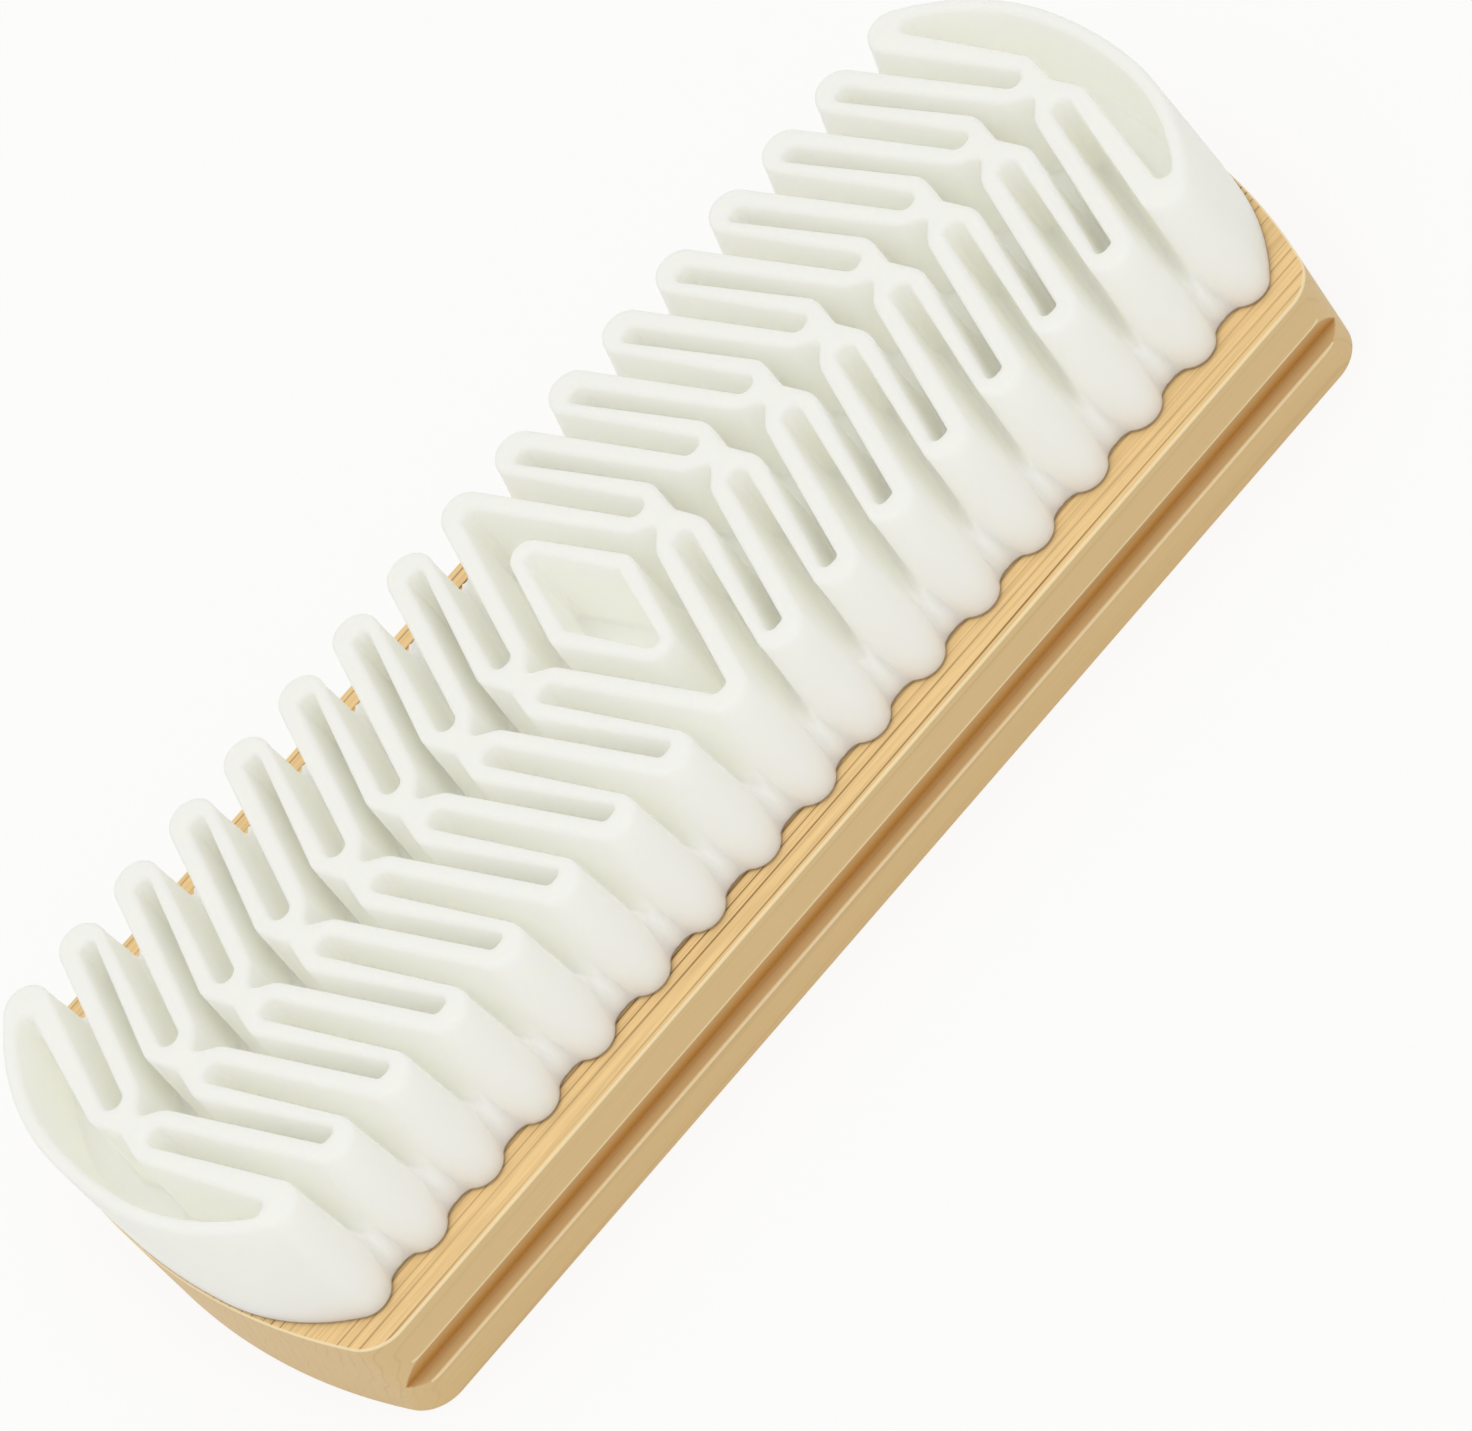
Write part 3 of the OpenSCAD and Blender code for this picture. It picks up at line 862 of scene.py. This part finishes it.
def sanded_wood(colours):
    """Fine-sanded pale wood under a thin satin oil: straight grain with latewood lines about
    1.3 mm apart that run along the brush, fine pores, and slow changes of tone."""
    material, tree = new_material("sanded_straight_grained_wood")
    place = add_node(tree, "ShaderNodeTexCoord").outputs["Object"]
    # Three noises drawn out along the brush. The rings wander over 200 mm by 4 mm, and change
    # in strength over 70 mm by 6 mm. Pores are streaks about 0.1 mm wide, drawn in cells of
    # 11 mm by 0.4 mm so that they show.
    noises = []
    for scale, detail in (((5.0, 240.0, 240.0), 2.0), ((14.0, 160.0, 160.0), 2.0),
                          ((90.0, 2600.0, 2600.0), 3.0)):
        drawn = add_node(tree, "ShaderNodeMapping", values={"Scale": scale},
                         links={"Vector": place})
        noise = add_node(tree, "ShaderNodeTexNoise", values={"Scale": 1.0, "Detail": detail},
                         links={"Vector": drawn.outputs["Vector"]})
        noises.append(noise.outputs["Fac"])
    drift, strong, streaks = noises
    side, groove, edge = (
        add_node(tree, "ShaderNodeAttribute", {"attribute_name": name}).outputs["Fac"]
        for name in ("side", "groove", "edge"))
    # The rings run along the brush, lean a little across it and are 1.3 mm apart.
    axes = add_node(tree, "ShaderNodeSeparateXYZ", links={"Vector": place})
    across = add_node(tree, "ShaderNodeMath", {"operation": "MULTIPLY_ADD"},
                      values={1: 0.35}, links={0: axes.outputs["Z"], 2: axes.outputs["Y"]})
    wander = add_node(tree, "ShaderNodeMath", {"operation": "MULTIPLY_ADD"},
                      values={1: 2.6 * MM}, links={0: drift, 2: across.outputs[0]})
    rings = add_node(tree, "ShaderNodeMath", {"operation": "MULTIPLY"},
                     values={1: 1 / (1.3 * MM)}, links={0: wander.outputs[0]})
    ring = add_node(tree, "ShaderNodeMath", {"operation": "FRACT"}, links={0: rings.outputs[0]})
    # A ring darkens slowly through its latewood and ends sharply.
    line = add_node(tree, "ShaderNodeValToRGB", links={"Fac": ring.outputs[0]})
    ramp = line.color_ramp.elements
    ramp[0].color, ramp[1].color = (0.6, 0.6, 0.6, 1), (1, 1, 1, 1)
    for position, level in ((0.06, 0.08), (0.5, 0.0), (0.82, 0.2), (0.92, 1.0)):
        stop = ramp.new(position)
        stop.color = (level, level, level, 1)
    strength = add_node(tree, "ShaderNodeMapRange", values={
        "From Min": 0.35, "From Max": 0.65, "To Min": 0.2, "To Max": 0.95},
        links={"Value": strong})
    latewood = add_node(tree, "ShaderNodeMath", {"operation": "MULTIPLY"},
                        links={0: line.outputs["Color"], 1: strength.outputs["Result"]})
    pores = add_node(tree, "ShaderNodeMapRange", values={
        "From Min": 0.35, "From Max": 0.75, "To Min": 0.0, "To Max": 0.28},
        links={"Value": streaks})
    # The sawn sides cut the rings flat, so that their lines are faint there.
    faint = add_node(tree, "ShaderNodeMapRange", values={"To Min": 1.0, "To Max": 0.15},
                     links={"Value": side})
    dark = add_node(tree, "ShaderNodeMath", {"operation": "MAXIMUM"},
                    links={0: latewood.outputs[0], 1: pores.outputs["Result"]})
    dark = add_node(tree, "ShaderNodeMath", {"operation": "MULTIPLY"},
                    links={0: dark.outputs[0], 1: faint.outputs["Result"]})
    tone = add_node(tree, "ShaderNodeMix", {"data_type": "RGBA"},
                    values={6: colours.wood, 7: colours.grain},
                    links={"Factor": dark.outputs[0]}).outputs[2]
    # Painted shade makes the sides greyer and darker than the face and the grooves browner, and a painted highlight
    # makes the sanded edges and the grooves' lips paler.
    for share, tint in ((side, colours.side), (groove, colours.groove)):
        tone = add_node(tree, "ShaderNodeMix", {"data_type": "RGBA", "blend_type": "MULTIPLY"},
                        values={7: tint}, links={"Factor": share, 6: tone}).outputs[2]
    # Painted highlight on the arrises and lips, at 0.8 of its share.
    paler = add_node(tree, "ShaderNodeMath", {"operation": "MULTIPLY"}, values={1: 0.8},
                     links={0: edge})
    tone = add_node(tree, "ShaderNodeMix", {"data_type": "RGBA"}, values={7: colours.edge},
                    links={"Factor": paler.outputs[0], 6: tone}).outputs[2]
    satin = add_node(tree, "ShaderNodeMapRange", values={"To Min": 0.42, "To Max": 0.6},
                     links={"Value": streaks})
    bump = add_node(tree, "ShaderNodeBump", values={"Strength": 0.15, "Distance": 0.05 * MM},
                    links={"Height": streaks})
    shader = add_node(tree, "ShaderNodeBsdfPrincipled", values={
        "IOR": 1.5, "Specular IOR Level": 0.35},
        links={"Base Color": tone, "Roughness": satin.outputs["Result"],
               "Normal": bump.outputs["Normal"]})
    add_node(tree, "ShaderNodeOutputMaterial", links={"Surface": shader.outputs["BSDF"]})
    return material


def set_adhesive(colours):
    """Set contact adhesive, rolled on thinly: slightly glossy and uneven."""
    material, tree = new_material("set_contact_adhesive")
    place = add_node(tree, "ShaderNodeTexCoord").outputs["Object"]
    # The roller leaves bumps about 2.5 mm across.
    cloud = add_node(tree, "ShaderNodeTexNoise", values={"Scale": 1 / (2.5 * MM), "Detail": 2.0},
                     links={"Vector": place})
    gloss = add_node(tree, "ShaderNodeMapRange", values={"To Min": 0.25, "To Max": 0.45},
                     links={"Value": cloud.outputs["Fac"]})
    bump = add_node(tree, "ShaderNodeBump", values={"Strength": 0.3, "Distance": 0.05 * MM},
                    links={"Height": cloud.outputs["Fac"]})
    shader = add_node(tree, "ShaderNodeBsdfPrincipled",
                      values={"Base Color": colours.adhesive, "IOR": 1.5},
                      links={"Roughness": gloss.outputs["Result"],
                             "Normal": bump.outputs["Normal"]})
    add_node(tree, "ShaderNodeOutputMaterial", links={"Surface": shader.outputs["BSDF"]})
    return material


def white_behind(tree, white_kind, surface, share):
    """Mixes a share of white into a surface for the rays that see it as background, which are
    the camera's, glossy and transmission rays."""
    path = add_node(tree, "ShaderNodeLightPath")
    seen = path.outputs["Is Camera Ray"]
    for ray in ("Is Glossy Ray", "Is Transmission Ray"):
        seen = add_node(tree, "ShaderNodeMath", {"operation": "ADD", "use_clamp": True},
                        links={0: seen, 1: path.outputs[ray]}).outputs[0]
    amount = add_node(tree, "ShaderNodeMath", {"operation": "MULTIPLY"}, values={1: share},
                      links={0: seen})
    white = add_node(tree, white_kind, values={"Color": (1, 1, 1, 1), "Strength": 1.0})
    mix = add_node(tree, "ShaderNodeMixShader", links={
        "Fac": amount.outputs[0], 1: surface, 2: white.outputs[0]})
    return mix.outputs["Shader"]


def pale_floor(colours):
    """A plain matte floor that keeps the shadow and is otherwise white."""
    material, tree = new_material("pale_matte_floor")
    shader = add_node(tree, "ShaderNodeBsdfDiffuse", values={"Color": colours.floor})
    mixed = white_behind(tree, "ShaderNodeEmission", shader.outputs["BSDF"], 0.85)
    add_node(tree, "ShaderNodeOutputMaterial", links={"Surface": mixed})
    return material


def add_floor(colours):
    """A level floor under the block, wide enough to fill the view."""
    reach, steps = 3.0, 9
    span = np.linspace(-reach, reach, steps)
    x, y = np.meshgrid(span, span, indexing="ij")
    shell = Shell()
    shell.grid(np.stack([x, y, 0 * x], axis=-1), closed=False, flip=True)
    floor = shell.make("floor")
    floor.data.materials.append(pale_floor(colours))
    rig.stage(floor)


def add_lamp(name, place, aim, size, power):
    """A soft square lamp at place that faces aim."""
    lamp = bpy.data.lights.new(name, "AREA")
    lamp.size, lamp.energy = size, power
    holder = bpy.data.objects.new(name, lamp)
    holder.location = place
    holder.rotation_mode = "QUATERNION"
    holder.rotation_quaternion = (Vector(aim) - Vector(place)).to_track_quat("-Z", "Y")
    bpy.context.scene.collection.objects.link(holder)


def set_world():
    """Soft light from all round, and white where the world itself shows."""
    world = bpy.data.worlds.new("studio")
    bpy.context.scene.world = world
    world.use_nodes = True
    tree = world.node_tree
    tree.nodes.clear()
    soft = add_node(tree, "ShaderNodeBackground", values={
        "Color": (1, 1, 0.94, 1), "Strength": 0.755})
    mixed = white_behind(tree, "ShaderNodeBackground", soft.outputs["Background"], 1.0)
    add_node(tree, "ShaderNodeOutputWorld", links={"Surface": mixed})


def set_camera():
    """The photograph's view: a long lens half a metre in front and half a metre up, rolled so
    that the brush runs from lower left to upper right."""
    lens = bpy.data.cameras.new("camera")
    lens.lens, lens.sensor_width = 184.4, 36.0
    lens.clip_start, lens.clip_end = 0.05, 20.0
    camera = bpy.data.objects.new("camera", lens)
    camera.location = (-0.1004, -0.4864, 0.5592)
    camera.rotation_euler = Euler([math.radians(a) for a in (34.367, 25.164, -43.950)], "XYZ")
    bpy.context.scene.collection.objects.link(camera)
    bpy.context.scene.camera = camera


def dress(piece, node, slot, material):
    """Gives a new piece its material, its body, the node it stands for and its slot."""
    piece.data.materials.append(material)
    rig.ride(piece, "root")
    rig.replaces(piece, node)
    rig.slot(piece, slot)


class SUEDE_BRUSH_OT_block(bpy.types.Operator):
    """Make the wooden block with its two finger grooves"""
    bl_idname = "suede_brush.block"
    bl_label = "Wooden block"

    def execute(self, context):
        scene = context.scene
        block = wooden_block_shell(scene.suede_brush_block).make("block")
        mark_block(block, scene.suede_brush_block)
        mark_sharp(block, degrees=40)
        dress(block, "wooden_block", "wood", sanded_wood(scene.suede_brush_colours))
        return {"FINISHED"}


class SUEDE_BRUSH_OT_adhesive(bpy.types.Operator):
    """Finish the adhesive bed between block and pad"""
    bl_idname = "suede_brush.adhesive"
    bl_label = "Adhesive bed"

    def execute(self, context):
        bed = frame["nodes"]["adhesive_bed"]
        bed.data.materials.clear()
        bed.data.materials.append(set_adhesive(context.scene.suede_brush_colours))
        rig.slot(bed, "adhesive")
        return {"FINISHED"}


class SUEDE_BRUSH_OT_pad(bpy.types.Operator):
    """Make the rubber pad with its fins, slots, diamond and end loops"""
    bl_idname = "suede_brush.pad"
    bl_label = "Rubber pad"

    def execute(self, context):
        scene = context.scene
        pad = rubber_pad_shell(scene.suede_brush_pad).make("pad")
        mark_sharp(pad, degrees=60)
        dress(pad, "rubber_pad", "white_rubber", moulded_rubber(scene.suede_brush_colours))
        return {"FINISHED"}


class SUEDE_BRUSH_OT_stage(bpy.types.Operator):
    """Make the floor, the lamps, the world and the camera"""
    bl_idname = "suede_brush.stage"
    bl_label = "Stage"

    def execute(self, context):
        scene = context.scene
        scene.view_settings.view_transform = "Standard"
        # White rubber passes light from wall to wall many times before it leaves a slot.
        scene.cycles.max_bounces = scene.cycles.diffuse_bounces = 24
        add_floor(scene.suede_brush_colours)
        aim = (0, 0, PAD_LOW[2])
        add_lamp("key_lamp", (-0.15, -0.1, 1.0), aim, size=0.9, power=1.8)
        add_lamp("front_lamp", (-0.1, -0.9, 0.6), aim, size=0.8, power=0.4)
        set_world()
        set_camera()
        return {"FINISHED"}


class SUEDE_BRUSH_PT_panel(bpy.types.Panel):
    """Lists the brush's pieces and sizes"""
    bl_label = "Suede brush"
    bl_idname = "SUEDE_BRUSH_PT_panel"
    bl_space_type = "VIEW_3D"
    bl_region_type = "UI"
    bl_category = "Suede brush"

    def draw(self, context):
        scene, layout = context.scene, self.layout
        for operator, sizes in ((SUEDE_BRUSH_OT_block, scene.suede_brush_block),
                                (SUEDE_BRUSH_OT_adhesive, None),
                                (SUEDE_BRUSH_OT_pad, scene.suede_brush_pad),
                                (SUEDE_BRUSH_OT_stage, scene.suede_brush_colours)):
            column = layout.column(align=True)
            column.operator(operator.bl_idname)
            for name in (sizes.bl_rna.properties.keys() if sizes else ()):
                if name not in {"rna_type", "name"}:
                    column.prop(sizes, name)


CLASSES = (BrushBlockSizes, BrushPadSizes, BrushColours, SUEDE_BRUSH_OT_block,
           SUEDE_BRUSH_OT_adhesive, SUEDE_BRUSH_OT_pad, SUEDE_BRUSH_OT_stage,
           SUEDE_BRUSH_PT_panel)


def register():
    """Registers the classes, and puts the sizes and colours on the scene."""
    for made in CLASSES:
        bpy.utils.register_class(made)
    bpy.types.Scene.suede_brush_block = PointerProperty(type=BrushBlockSizes)
    bpy.types.Scene.suede_brush_pad = PointerProperty(type=BrushPadSizes)
    bpy.types.Scene.suede_brush_colours = PointerProperty(type=BrushColours)


def unregister():
    """Takes the sizes and colours off the scene, and the classes with them."""
    del bpy.types.Scene.suede_brush_colours
    del bpy.types.Scene.suede_brush_pad
    del bpy.types.Scene.suede_brush_block
    for made in reversed(CLASSES):
        bpy.utils.unregister_class(made)


def main():
    """Builds the brush on its stage and notes the boxes of the frame and of the dressed part."""
    register()
    bpy.ops.suede_brush.block()
    bpy.ops.suede_brush.adhesive()
    bpy.ops.suede_brush.pad()
    bpy.ops.suede_brush.stage()
    boxes = {"cad": [list(corner) for corner in cad_box],
             "visual": [list(corner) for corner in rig.bounds()]}
    with open("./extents.json", "w") as file:
        json.dump(boxes, file)


if __name__ == "__main__":
    main()
